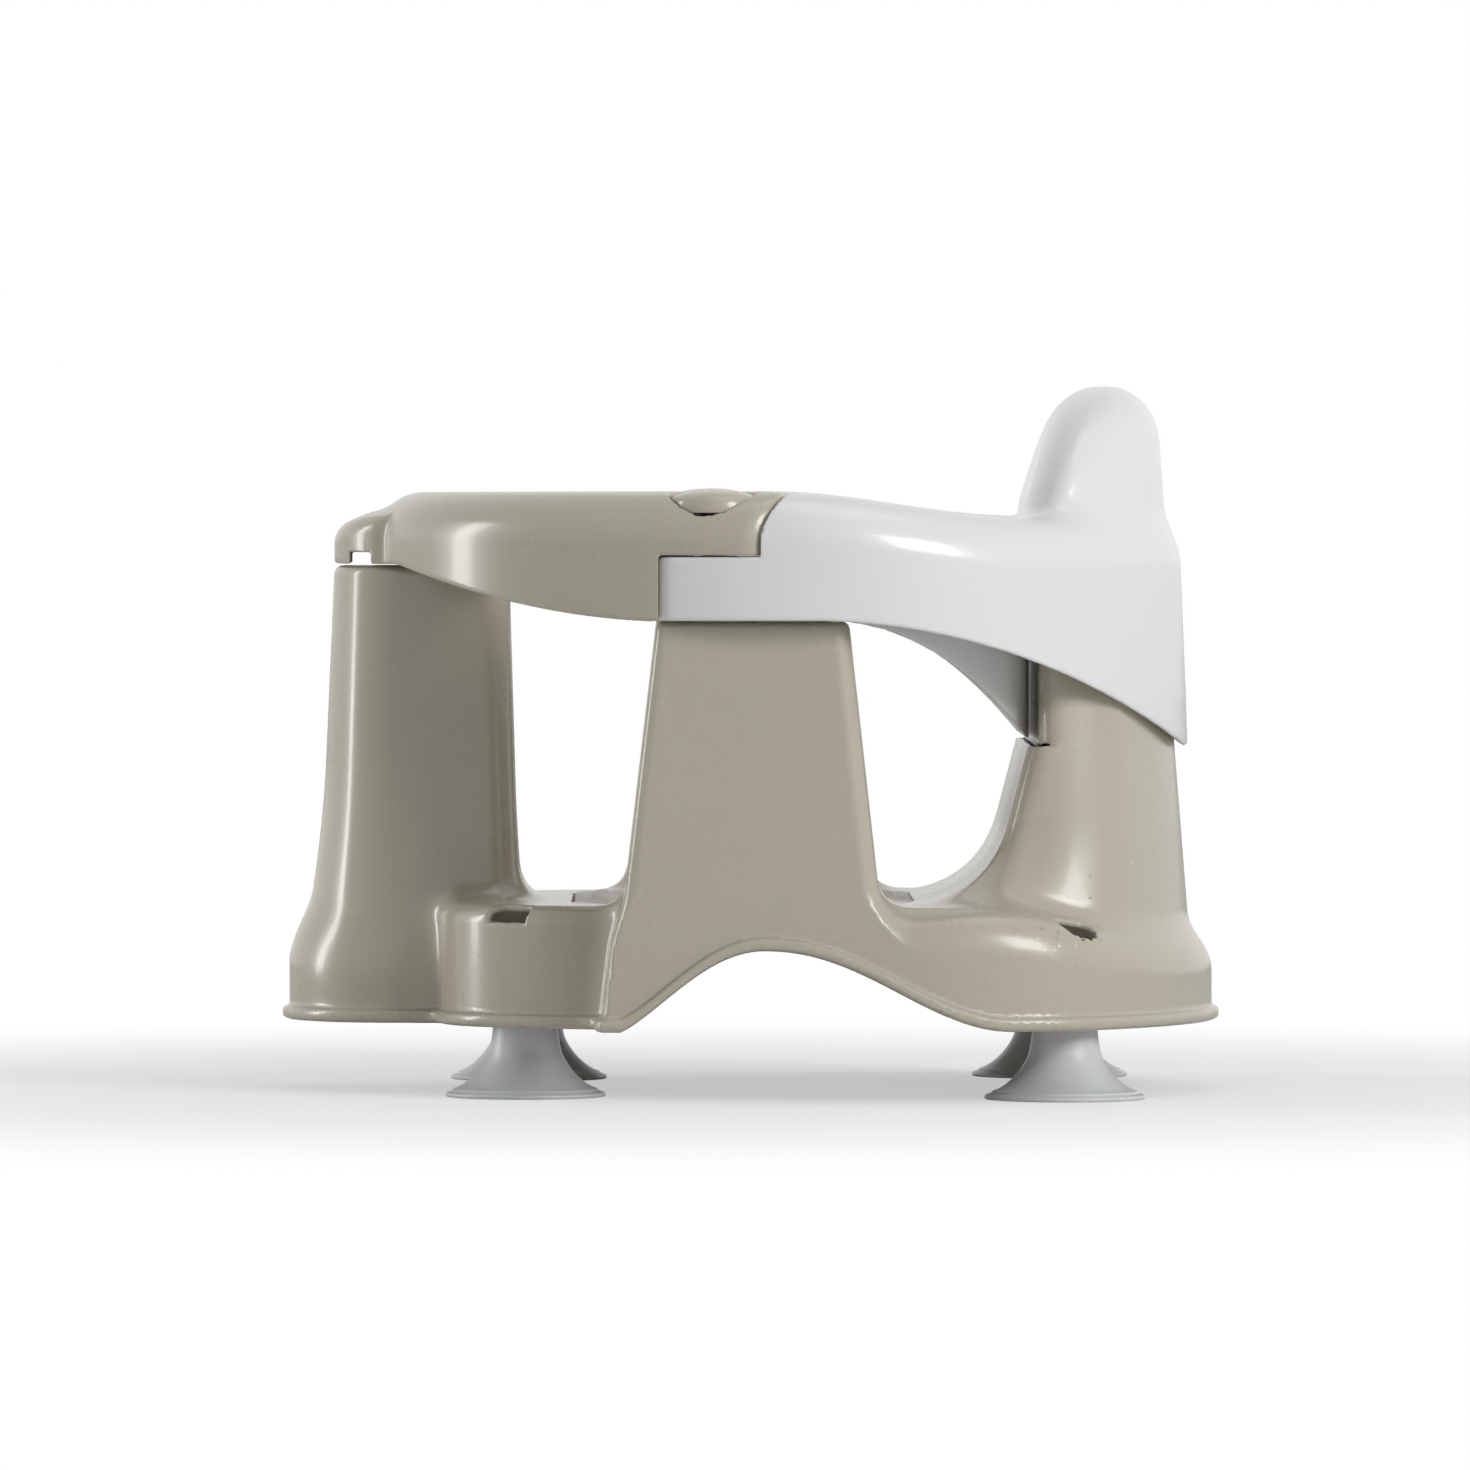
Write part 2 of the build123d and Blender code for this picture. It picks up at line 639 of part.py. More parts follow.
def make_push_nut():
    """Spring-steel nut pressed on the pin's lower end."""
    high = bush_bottom - 1.4
    nut = disc(-knuckle_x, knuckle_y, bush_radius + 0.8, pin_bottom + 0.5, high)
    return nut - disc(-knuckle_x, knuckle_y, pin_radius + 0.02, pin_bottom, high + 1)


def make_screw(x, y, plate_top):
    """Pan-head screw driven up from below through a plate."""
    low = plate_top - wall - 0.1
    screw = disc(x, y, screw_radius, low - 1, low + screw_length)
    head = disc(x, y, screw_head_radius, low - 2.4, low)
    head = fillet(head.edges().sort_by(Axis.Z)[0], 1.2)
    return screw + head - block(x - 0.5, x + 0.5, y - 2.4, y + 2.4, low - 3, low - 1.4)


def export(name, shape):
    export_step(shape, f"parts/{name}.step")
    box = shape.bounding_box()
    print(name, len(shape.solids()), shape.is_valid, round(shape.volume), box.min, box.max)


os.makedirs("parts", exist_ok=True)
export("base_shell", make_base())
export("seat_mat", make_mat())
export("back_ring", make_back_ring())
export("front_bar", make_front_bar())
for end, x, y in (("front", front_cup_x, front_cup_y), ("rear", rear_cup_x, rear_cup_y)):
    export(f"suction_cup_{end}_left", make_cup(x, y))
    export(f"suction_cup_{end}_right", make_cup(-x, y))
export("release_button", round_cap(knuckle_x, stem_boss_top + button_travel + fit_gap, stem_radius + 0.1))
export("latch_plunger", make_plunger())
export("button_spring", make_spring())
export("hinge_cap", round_cap(-knuckle_x, stem_boss_top + 2.7, stem_radius + 0.1))
export("hinge_pin", make_pin())
export("hinge_bush", make_bush())
export("hinge_washer", make_washer())
export("hinge_push_nut", make_push_nut())
side_screws = [make_screw(x, y, side_top) for x in (-knuckle_x, knuckle_x) for y in side_screw_ys]
export("side_post_screws", Compound(side_screws))
column_screws = [make_screw(x, column_screw_y, column_tenon_top) for x in (-column_screw_x, column_screw_x)]
export("column_screws", Compound(column_screws))
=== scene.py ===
# %% [markdown]
# This lesson dresses a moulded baby bath seat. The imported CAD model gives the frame: where every piece
# sits and what it moves with. The big shells are then modelled again as smooth glossy mouldings.
# %% Load the frame
import bmesh
import bpy
import json
import math
import numpy as np
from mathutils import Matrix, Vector

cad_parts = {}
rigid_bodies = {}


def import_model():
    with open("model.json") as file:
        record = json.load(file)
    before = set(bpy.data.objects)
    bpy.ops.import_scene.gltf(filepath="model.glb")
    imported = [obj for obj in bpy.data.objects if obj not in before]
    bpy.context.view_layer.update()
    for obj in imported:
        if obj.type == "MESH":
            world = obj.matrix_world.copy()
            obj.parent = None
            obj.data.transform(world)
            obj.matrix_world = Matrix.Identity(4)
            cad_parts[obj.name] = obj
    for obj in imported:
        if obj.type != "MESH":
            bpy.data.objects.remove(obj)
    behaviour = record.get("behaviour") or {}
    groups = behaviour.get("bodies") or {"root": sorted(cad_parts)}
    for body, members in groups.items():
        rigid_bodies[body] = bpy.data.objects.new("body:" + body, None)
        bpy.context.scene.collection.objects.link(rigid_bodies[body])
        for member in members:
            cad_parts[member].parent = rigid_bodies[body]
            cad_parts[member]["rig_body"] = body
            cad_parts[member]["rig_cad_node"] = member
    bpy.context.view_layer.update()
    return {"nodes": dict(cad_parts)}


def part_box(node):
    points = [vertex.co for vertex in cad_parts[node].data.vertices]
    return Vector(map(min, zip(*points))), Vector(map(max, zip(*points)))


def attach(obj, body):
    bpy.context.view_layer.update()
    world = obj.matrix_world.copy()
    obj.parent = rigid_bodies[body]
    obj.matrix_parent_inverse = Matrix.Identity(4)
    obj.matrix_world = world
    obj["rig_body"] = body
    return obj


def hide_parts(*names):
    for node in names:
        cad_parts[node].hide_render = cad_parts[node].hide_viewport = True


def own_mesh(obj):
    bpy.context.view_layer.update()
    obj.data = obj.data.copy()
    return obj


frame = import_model()
nodes = frame["nodes"]

# %% [markdown]
# A moulded shell has walls that flow into each other with wide fillets, which is hard to push into
# shape point by point. It is easy to write as a field: a function that gives each point of space its
# distance to the skin, negative inside the plastic. Two fields join with a soft minimum, and that is the
# fillet. All fields here work in millimetres, and meshes are made in metres.
# %% Field algebra
MM = 0.001


def soft_min(a, b, reach):
    """Joins two fields with a fillet that starts about reach away from the crease."""
    h = np.maximum(reach - np.abs(a - b), 0) / reach
    return np.minimum(a, b) - h * h * reach / 4


def soft_max(a, b, reach):
    return -soft_min(-a, -b, reach)


def round_max(a, b, radius):
    """Cuts one field with another and rolls the edge between them to a true radius."""
    corner = np.hypot(np.maximum(a + radius, 0), np.maximum(b + radius, 0))
    return np.minimum(np.maximum(a, b), -radius) + corner


def ramp(t):
    """Smooth step from 0 to 1."""
    t = np.clip(t, 0, 1)
    return t * t * (3 - 2 * t)


def hollow(solid, wall):
    """A skin of that thickness inside a field's surface."""
    return np.maximum(solid, -(solid + wall))


# %% [markdown]
# Surface nets turn a field into a mesh. Space is cut into small cubes, each cube that the skin passes
# through gets one point, and neighbouring points make four-sided faces. The points are then pulled onto
# the field's true zero, so the mesh is far smoother than the cubes that it came from.
# %% From field to mesh
def gradient(field, p, step=0.05):
    out = np.empty_like(p)
    for axis in range(3):
        shift = np.zeros(3)
        shift[axis] = step
        ahead, behind = p + shift, p - shift
        out[:, axis] = (field(*ahead.T) - field(*behind.T)) / (2 * step)
    return out


def sample(field, axes):
    """Field values on a grid, one slice at a time so that little memory is used."""
    xs, ys, zs = axes
    values = np.empty((len(xs), len(ys), len(zs)), np.float32)
    yy, zz = np.meshgrid(ys, zs, indexing="ij")
    for i, x in enumerate(xs):
        values[i] = field(np.full_like(yy, x), yy, zz)
    return values


def surface_net(field, low, high, step):
    """Points and four-sided faces of a field's zero inside a box."""
    axes = [np.arange(a, b + step, step) for a, b in zip(low, high)]
    v = sample(field, axes)
    inside = v < 0
    shape = tuple(n - 1 for n in v.shape)
    total, count = np.zeros(shape + (3,)), np.zeros(shape)
    corners = [(i, j, k) for i in (0, 1) for j in (0, 1) for k in (0, 1)]

    def corner(values, c):
        return values[tuple(slice(o, o + n) for o, n in zip(c, shape))]

    for a in corners:
        for axis in range(3):
            if a[axis]:
                continue
            b = tuple(c + (n == axis) for n, c in enumerate(a))
            crossed = corner(inside, a) != corner(inside, b)
            va, vb = corner(v, a)[crossed], corner(v, b)[crossed]
            point = np.tile(np.array(a, float), (len(va), 1))
            point[:, axis] = va / (va - vb)
            total[crossed] += point
            count[crossed] += 1
    used = count > 0
    index = np.full(shape, -1)
    index[used] = np.arange(used.sum())
    cells = np.argwhere(used)
    points = np.array([axis[0] for axis in axes]) + (cells + total[used] / count[used][:, None]) * step
    faces = []
    for axis in range(3):
        other = [n for n in range(3) if n != axis]
        cut = [slice(1, -1)] * 3
        cut[axis] = slice(0, -1)
        ahead = [slice(1, -1)] * 3
        ahead[axis] = slice(1, None)
        first, second = inside[tuple(cut)], inside[tuple(ahead)]
        edge = np.argwhere(first != second)
        flip = first[tuple(edge.T)]
        edge[:, other[0]] += 1
        edge[:, other[1]] += 1
        ring = []
        for a, b in ((-1, -1), (0, -1), (0, 0), (-1, 0)):
            cell = edge.copy()
            cell[:, other[0]] += a
            cell[:, other[1]] += b
            ring.append(index[tuple(cell.T)])
        ring = np.stack(ring, 1)
        turn = flip if axis != 1 else ~flip
        ring[~turn] = ring[~turn][:, ::-1]
        faces.append(ring)
    return points, np.concatenate(faces)


def settle(field, points, step, rounds=4):
    """Pulls points onto the field's zero."""
    for _ in range(rounds):
        slope = gradient(field, points)
        size = np.maximum((slope**2).sum(1), 0.2)
        move = slope * (field(*points.T) / size)[:, None]
        length = np.linalg.norm(move, axis=1, keepdims=True)
        points = points - move * np.minimum(1, 0.5 * step / np.maximum(length, 1e-9))
    return points


def moulding(name, field, low, high, step, keep=1.0):
    """A mesh object of a field, with normals from the field itself."""
    points, faces = surface_net(field, low, high, step)
    points = settle(field, points, step)
    mesh = bpy.data.meshes.new(name)
    mesh.from_pydata((points * MM).tolist(), [], faces.tolist())
    mesh.validate()
    piece = bpy.data.objects.new(name, mesh)
    bpy.context.scene.collection.objects.link(piece)
    if keep < 1:
        thin_out(piece, keep)
        mesh = piece.data
    mesh.polygons.foreach_set("use_smooth", [True] * len(mesh.polygons))
    where = np.empty(len(mesh.vertices) * 3)
    mesh.vertices.foreach_get("co", where)
    normal = gradient(field, where.reshape(-1, 3) / MM, 0.25)
    normal /= np.maximum(np.linalg.norm(normal, axis=1, keepdims=True), 1e-9)
    mesh.normals_split_custom_set_from_vertices(normal.tolist())
    print(name, "points", len(mesh.vertices), "faces", len(mesh.polygons))
    return piece


def thin_out(piece, keep):
    """Merges faces where the skin is nearly flat."""
    fewer = piece.modifiers.new("fewer", "DECIMATE")
    fewer.ratio = keep
    graph = bpy.context.evaluated_depsgraph_get()
    lean = bpy.data.meshes.new_from_object(piece.evaluated_get(graph))
    piece.modifiers.clear()
    piece.data = lean


# %% [markdown]
# The sizes below are the moulding's own, in millimetres. Y runs from the front post (minus) to the
# backrest (plus), X across the seat and Z up from the bath floor.
# %% Sizes of the seat
WALL = 3.0
RIM, SEAT = 27.0, 73.0
RING_Y, RING_R = 11.0, 155.0
RING_TOP, RING_LOW, BACK_LOW = 229.0, 181.0, 134.0
SHOULDER, INNER_ROUND = 18.5, 7.0
KNUCKLE_Y, LAP, LAP_GAP = -14.6, 205.0, 0.5
TONGUE_R, BAR_END_R, RUN = 25.0, 27.0, 1.0
OPEN_X, OPEN_FRONT, OPEN_BACK = 110.0, -90.0, 105.0
OPEN_FRONT_R, OPEN_BACK_R = 96.0, 60.0
POST_TOP, SIDE_TOP = 200.8, 180.6
SIDE_HALF, SIDE_DRAFT = 142.5, 2.5        # outer faces at the side posts' tops, and their draft
SIDE_FRONT, SIDE_FRONT_DRAFT = -36.0, 18.0
REAR_R, REAR_CORNER = 177.3, 22.0         # round rear wall and where it meets the side walls
COLUMN_TOP, COLUMN_BACK, COLUMN_DRAFT = 196.0, 151.8, 0.079
COLUMN_FACE, COLUMN_LEAN, COLUMN_STEP = 104.5, 0.26, 133.4
HEAD_HALF, HEAD_FOOT, HEAD_RISE = 89.0, 212.0, 57.6
BAR_LOW, BAR_FRONT_LOW = 180.6, 201.5
MAT_HALF_X, MAT_HALF_Y, MAT_CORNER, MAT_Y = 78.0, 65.0, 26.0, -3.0
DRAIN_PITCH, DRAIN_R = 44.0, 4.0
FADE_LOW, FADE = 44.0, 24.0               # where the posts fade out inside the skirt
FINE = 1.6
KNUCKLE_X = (math.sqrt(RING_R**2 - (KNUCKLE_Y - RING_Y) ** 2) + OPEN_X) / 2
print("knuckle at", round(KNUCKLE_X, 1), KNUCKLE_Y)

# %% [markdown]
# The base is one injection moulding: a skirt, a low box in front, three posts and the backrest column,
# all hollow from below. Each mass is written with its real draft, then they are blended, and one skin is
# taken from the blend. The rim gets its rolled edge, and the hand arches lift it at the sides.
# %% Plan shapes of the skirt
def post_draft(z):
    """0 at the side posts' tops, 1 at the rim."""
    return (SIDE_TOP - z) / (SIDE_TOP - RIM)


def tub_plan(x, y, z):
    """Round rear wall and straight sides, which end in the side posts' front line."""
    side = np.abs(x) - SIDE_HALF - SIDE_DRAFT * post_draft(z)
    front = SIDE_FRONT - SIDE_FRONT_DRAFT * post_draft(z) - y
    body = round_max(side, np.hypot(x, y) - REAR_R, REAR_CORNER)
    return round_max(body, front, 4.0)


def box_plan(x, y):
    """Low box that carries the front cups."""
    ax = np.abs(x)
    slant = (ax - 84.0) * 0.81 - (y + 110.0) * 0.587
    front = -(y + 113.0) + (ax - 84.0) * 0.16
    body = soft_max(soft_max(slant, front, 18.0), ax - 113.0, 14.0)
    return soft_max(body, y - 20.0, 4.0)


def nose_plan(x, y):
    """Round foot of the front post."""
    ax = np.abs(x)
    return soft_max(np.hypot(x, y + 123.2) - 54.1, ax - 50.0, 10.0)


# %% Masses of the base
def flare(z, start, depth):
    """0 above start, growing towards the foot."""
    return depth * np.clip((start - z) / 60.0, 0, 1.3) ** 1.8


def front_post(x, y, z):
    t = np.clip((POST_TOP - z) / 173.8, 0, 1)
    ax = np.abs(x)
    wide = 37.0 + 7.0 * t + flare(z, 125, 3.2)
    front = -160.0 - 7.6 * t - flare(z, 125, 4.2)
    rear = -93.0 + 5.0 * t + flare(z, 115, 2.6)
    radius = 44.0 + 8 * t
    arc = np.hypot(x, y - front - radius) - radius
    body = soft_max(arc, ax - wide, 12.0)
    body = round_max(body, y - rear, 11.0)
    body = soft_max(body, FADE_LOW - z, FADE)
    return round_max(body, z - POST_TOP, 3.0)


def side_posts(x, y, z):
    t = post_draft(z)
    ax = np.abs(x)
    outer = ax - (SIDE_HALF + SIDE_DRAFT * t)
    inner = (115.0 - 14.0 * t - flare(z, 110, 2.0)) - ax
    front = SIDE_FRONT - SIDE_FRONT_DRAFT * t - y
    rear = y - (36.0 + 17.0 * t)
    body = round_max(round_max(outer, front, 4.0), soft_max(rear, inner, 16.0), 7.0)
    return soft_max(body, z - SIDE_TOP, 3.0)


def column(x, y, z):
    t = np.clip((COLUMN_TOP - z) / (COLUMN_TOP - RIM), 0, 1)
    ax = np.abs(x)
    outer = np.hypot(x, y - RING_Y) - (COLUMN_BACK - COLUMN_DRAFT * (z - BACK_LOW))
    face = COLUMN_FACE - COLUMN_LEAN * np.maximum(COLUMN_STEP - z, 0) - y
    step = (OPEN_BACK + WALL + 0.6) - y
    face = np.where(z > COLUMN_STEP, step, face)
    side = ax - (88.0 + 16.0 * t + flare(z, 105, 9.0))
    body = round_max(round_max(outer, side, 16.0), face, 9.0)
    body = soft_max(body, FADE_LOW - z, FADE)
    return soft_max(body, z - COLUMN_TOP, 3.0)


def skirt(x, y, z):
    """Tub and box with their rounded shoulders."""
    tub = tub_plan(x, y, z)
    fall = 11.0 * ramp((np.abs(y) + y - 150.0) / 190.0)
    tub = round_max(tub, z - SEAT + fall, 17.0)
    box = round_max(box_plan(x, y), z - SEAT, 7.0)
    nose = soft_max(nose_plan(x, y), z - 64.0, 26.0)
    body = soft_min(box, nose, 7.0)
    return soft_min(body, tub, 3.0)


def outer_limit(x, y, z):
    """Keeps the blends from swelling past the flat side walls and the round rear wall."""
    side = np.abs(x) - SIDE_HALF - SIDE_DRAFT * post_draft(z)
    return round_max(side, np.hypot(x, y) - REAR_R, REAR_CORNER)


def base_mass(x, y, z):
    body = skirt(x, y, z)
    body = soft_min(body, front_post(x, y, z), 14.0)
    body = soft_min(body, side_posts(x, y, z), 13.0)
    back = column(x, y, z)
    wide, narrow = soft_min(body, back, 34.0), soft_min(body, back, 8.0)
    body = wide + (narrow - wide) * ramp((np.hypot(x, y) - 128.0) / 34.0)
    return np.maximum(body, outer_limit(x, y, z))


# %% Rim and holes of the base
ARCH_FRONT, ARCH_CREST, ARCH_BACK, ARCH_RISE = -50.0, 4.0, 98.0, 30.5


def rim_height(y):
    """Lower edge of the rim from the side: level, with one hand arch."""
    rising = np.clip((y - ARCH_FRONT) / (ARCH_CREST - ARCH_FRONT), 0, 1)
    falling = np.clip((y - ARCH_CREST) / (ARCH_BACK - ARCH_CREST), 0, 1)
    hump = np.sin(rising * math.pi / 2) ** 1.25 * (0.5 + 0.5 * np.cos(falling**1.08 * math.pi))
    return RIM + ARCH_RISE * hump


def slot_hole(x, y, z, cx, cy, turn, floor, half=4.5, radius=4.6):
    """Long rounded hole above a suction cup."""
    a = math.radians(turn)
    u = (np.abs(x) - cx) * math.cos(a) + (y - cy) * math.sin(a)
    v = -(np.abs(x) - cx) * math.sin(a) + (y - cy) * math.cos(a)
    plan = np.hypot(np.maximum(np.abs(u) - half, 0), v) - radius
    return np.maximum(plan, floor - z)


def drain_holes(x, y):
    """Nine round holes through the seat, under the mat."""
    half, row = DRAIN_PITCH / 2, np.abs(y - MAT_Y)
    u = np.abs(x) - DRAIN_PITCH * (np.abs(x) > half)
    v = row - DRAIN_PITCH * (row > half)
    return np.hypot(u, v) - DRAIN_R


def base_shell(x, y, z):
    mass = base_mass(x, y, z)
    shell = hollow(mass, WALL)
    lift = z - rim_height(y)
    shell = np.maximum(shell, -lift)
    across, along = np.abs(mass - 0.05) - 1.15, np.abs(lift - 2.3) - 0.8
    bead = np.hypot(np.maximum(across, 0), np.maximum(along, 0)) - 1.5
    shell = soft_min(shell, bead, 1.6)
    for hole in ((94.0, -92.0, 54.0, 66.5), (114.5, 121.5, -42.0, 52.0)):
        shell = soft_max(shell, -slot_hole(x, y, z, *hole), 1.5)
    recess = np.maximum(mat_plan(x, y), SEAT - 1.4 - z)
    shell = np.maximum(shell, -recess)
    drain = np.maximum(drain_holes(x, y), np.maximum(60.0 - z, z - 80.0))
    return soft_max(shell, -drain, 1.0)


def mat_plan(x, y):
    """Rounded rectangle of the soft seat mat."""
    u = np.maximum(np.abs(x) - MAT_HALF_X + MAT_CORNER, 0)
    v = np.maximum(np.abs(y - MAT_Y) - MAT_HALF_Y + MAT_CORNER, 0)
    return np.hypot(u, v) - MAT_CORNER


base = moulding("base_moulding", base_shell, (-151, -184, 22), (151, 184, 205), FINE, 0.45)

# %% [markdown]
# The ring is a hollow channel with rolled shoulders. Its plan is a circle outside and a wide rounded
# opening inside. The white half and the taupe half lap each other at the sides: a round tongue below, a
# round bar end above, both turned about the knuckle, so the bar can swing without a gap opening.
# %% The ring's channel
def opening_plan(x, y):
    """Negative inside the opening that the baby sits in."""
    front = y < 0
    radius = np.where(front, OPEN_FRONT_R, OPEN_BACK_R)
    middle = (OPEN_FRONT + OPEN_BACK) / 2
    u = np.abs(x) - OPEN_X + radius
    v = np.abs(y - middle) - (OPEN_BACK - OPEN_FRONT) / 2 + radius
    return np.hypot(np.maximum(u, 0), np.maximum(v, 0)) + np.minimum(np.maximum(u, v), 0) - radius


def ring_top(y):
    return RING_TOP - 9.5 * ramp((y - 10.0) / 95.0)


def channel(x, y, z, lean=0.0):
    outer = np.hypot(x, y - RING_Y) - RING_R + lean
    inner = -opening_plan(x, y)
    roof = z - ring_top(y)
    body = round_max(outer, roof, SHOULDER)
    return round_max(body, inner, INNER_ROUND)


def knuckle(x, y):
    return np.hypot(np.abs(x) - KNUCKLE_X, y - KNUCKLE_Y)


def outer_wall_share(x, y):
    """1 next to the ring's outer wall, 0 next to its inner wall."""
    outer = RING_R - np.hypot(x, y - RING_Y)
    inner = opening_plan(x, y)
    return ramp(0.5 + (inner - outer) / 8.0)


# %% White half with the headrest
def back_edges(y):
    """Lower edges of the white half: outer wall, inner wall."""
    reach = np.clip(y - 20.0, 0, 146.0)
    drop = 241.0 - np.sqrt(np.maximum(241.0**2 - reach**2, 1))
    late = np.clip((y - 20.0) / 86.0, 0, 1)
    return RING_LOW - drop, RING_LOW - 47.6 * late**2.35


def headrest(x, y, z):
    rise = np.maximum(z - HEAD_FOOT, 0) / HEAD_RISE
    arch = np.hypot(x / HEAD_HALF, rise) - 1
    arch = arch * HEAD_RISE * (0.62 + 0.38 * np.clip(rise, 0, 1))
    front = (104.6 + 0.3 * np.maximum(z - 226.0, 0)) - y
    back = np.hypot(x, y - RING_Y) - (147.4 - 0.07 * (z - 232.0))
    body = round_max(arch, front, 16.0)
    return round_max(body, back, 19.0)


def white_mass(x, y, z):
    lean = np.clip((z - 150.0) / 80.0, 0, 1) * 2.0 * ramp((y - 40.0) / 80.0)
    ring = channel(x, y, z, lean)
    body = soft_min(ring, np.maximum(headrest(x, y, z), 60.0 - y), 9.0)
    r = knuckle(x, y)
    low = np.minimum(KNUCKLE_Y - y, r - TONGUE_R)
    step = np.maximum(KNUCKLE_Y - y, BAR_END_R + RUN - r)
    body = round_max(body, low, 2.0)
    return round_max(body, np.minimum(z - LAP, step), 1.4)


def white_shell(x, y, z):
    mass = white_mass(x, y, z)
    shell = hollow(mass, WALL)
    outer_edge, inner_edge = back_edges(y)
    share = outer_wall_share(x, y)
    edge = inner_edge + (outer_edge - inner_edge) * share
    return soft_max(shell, edge - z, 1.6)


white = moulding("white_ring", white_shell, (-158, -44, 128), (158, 170, 273), FINE * 0.9, 0.5)


# %% Taupe front bar
def bar_edges(x, y):
    """Lower edges of the bar: outer wall, inner wall."""
    t = np.clip((-30.0 - y) / 105.0, 0, 1)
    outer = BAR_LOW + (BAR_FRONT_LOW - BAR_LOW) * t**1.95
    outer = np.where(y < -136.0, BAR_FRONT_LOW, outer)
    inner = BAR_LOW + 22.4 * ramp((-34.0 - y) / 22.0)
    return outer, inner


def hood(x, y, z):
    """Hood of the bar over the front post."""
    ax = np.abs(x)
    arc = np.hypot(x, y + 115.8) - 44.2
    plan = soft_max(round_max(arc, ax - 37.0, 4.0), y + 98.0, 4.0)
    crown = 222.6 - 5.6 * np.clip((-139.0 - y) / 17.0, 0, 1.3) ** 1.6 - 3.2 * (ax / 37.0) ** 2
    return round_max(plan, z - crown, 5.0)


def bar_mass(x, y, z):
    body = soft_min(channel(x, y, z), hood(x, y, z), 3.0)
    r = knuckle(x, y)
    high = np.minimum(y - KNUCKLE_Y, r - BAR_END_R)
    seat = np.maximum(y - KNUCKLE_Y, TONGUE_R + RUN - r)
    body = round_max(body, high, 2.6)
    return round_max(body, np.minimum(LAP + LAP_GAP - z, seat), 1.0)


def bar_shell(x, y, z):
    mass = bar_mass(x, y, z)
    shell = hollow(mass, WALL)
    outer_edge, inner_edge = bar_edges(x, y)
    edge = inner_edge + (outer_edge - inner_edge) * outer_wall_share(x, y)
    shell = soft_max(shell, edge - z, 1.6)
    r = knuckle(x, y)
    well = np.maximum(r - 17.5, 216.0 - z)
    shell = round_max(shell, -well, 1.2)
    window = round_max(np.abs(y + 149.5) - 4.0, z - 206.0, 0.6)
    return np.maximum(shell, -np.maximum(window, y + 140.0))


bar = moulding("front_bar_shell", bar_shell, (-158, -164, 177), (158, 16, 232), FINE * 0.72, 0.5)

# %% [markdown]
# The suction cups, the round button and the hinge cap are turned shapes. Each profile is a few strokes
# of named points. A stroke is smoothed into a curve, the joins between strokes stay crisp, and the whole
# profile is spun about its own axis.
# %% Turned pieces
def smooth_stroke(points, parts=8):
    """Catmull-Rom curve through the points of one stroke."""
    p = np.array(points, float)
    if len(p) == 2:
        return p
    p = np.vstack([2 * p[0] - p[1], p, 2 * p[-1] - p[-2]])
    out = []
    for a, b, c, d in zip(p[:-3], p[1:-2], p[2:-1], p[3:]):
        for t in np.arange(parts) / parts:
            cubic = 2 * a - 5 * b + 4 * c - d
            out.append(b + 0.5 * ((c - a) * t + cubic * t**2 + (3 * (b - c) + d - a) * t**3))
    return np.vstack([out, p[-2]])


def turned(name, strokes, around=128):
    """Spins closed strokes of (radius, height) points about the Z axis, in millimetres."""
    curve = np.vstack([smooth_stroke(stroke)[:-1] for stroke in strokes])
    curve[:, 0] = np.maximum(curve[:, 0], 0)
    angle = np.arange(around) * 2 * math.pi / around
    points = np.stack([
        np.outer(curve[:, 0], np.cos(angle)),
        np.outer(curve[:, 0], np.sin(angle)),
        np.repeat(curve[:, 1:], around, 1),
    ], -1).reshape(-1, 3)
    rings = range(len(curve))
    faces = []
    for i in rings:
        n = (i + 1) % len(curve)
        if curve[i, 0] < 1e-6 and curve[n, 0] < 1e-6:
            continue
        faces += [
            (i * around + j, i * around + (j + 1) % around, n * around + (j + 1) % around, n * around + j)
            for j in range(around)
        ]
    mesh = bpy.data.meshes.new(name)
    mesh.from_pydata((points * MM).tolist(), [], faces)
    shape = bmesh.new()
    shape.from_mesh(mesh)
    bmesh.ops.remove_doubles(shape, verts=shape.verts, dist=1e-6)
    bmesh.ops.dissolve_degenerate(shape, edges=shape.edges, dist=1e-7)
    bmesh.ops.recalc_face_normals(shape, faces=shape.faces)
    shape.to_mesh(mesh)
    shape.free()
    mesh.polygons.foreach_set("use_smooth", [True] * len(mesh.polygons))
    mesh.set_sharp_from_angle(angle=math.radians(50))
    piece = bpy.data.objects.new(name, mesh)
    bpy.context.scene.collection.objects.link(piece)
    return piece


# %% Suction cups
CUP_STROKES = [
    [(0, 13.0), (5, 12.4), (18, 6.4), (25, 2.2), (28.6, 0.2)],
    [(28.6, 0.2), (29.8, 0.0), (30.45, 0.5), (30.3, 1.3), (29.2, 1.9)],
    [(29.2, 1.9), (28.3, 2.1), (27.6, 2.9)],
    [(27.6, 2.9), (24.5, 4.2), (20.5, 7.2), (16.6, 11.6), (13.8, 17.0), (12.5, 24.0)],
    [(12.5, 24.0), (12.3, 28.0), (12.3, 33.7)],
    [(12.3, 33.7), (8.6, 33.7)], [(8.6, 33.7), (8.6, 37.3)], [(8.6, 37.3), (10.2, 37.3)],
    [(10.2, 37.3), (9.8, 39.4), (6.0, 43.0)], [(6.0, 43.0), (0, 43.0)], [(0, 43.0), (0, 13.0)],
]
cups = {}
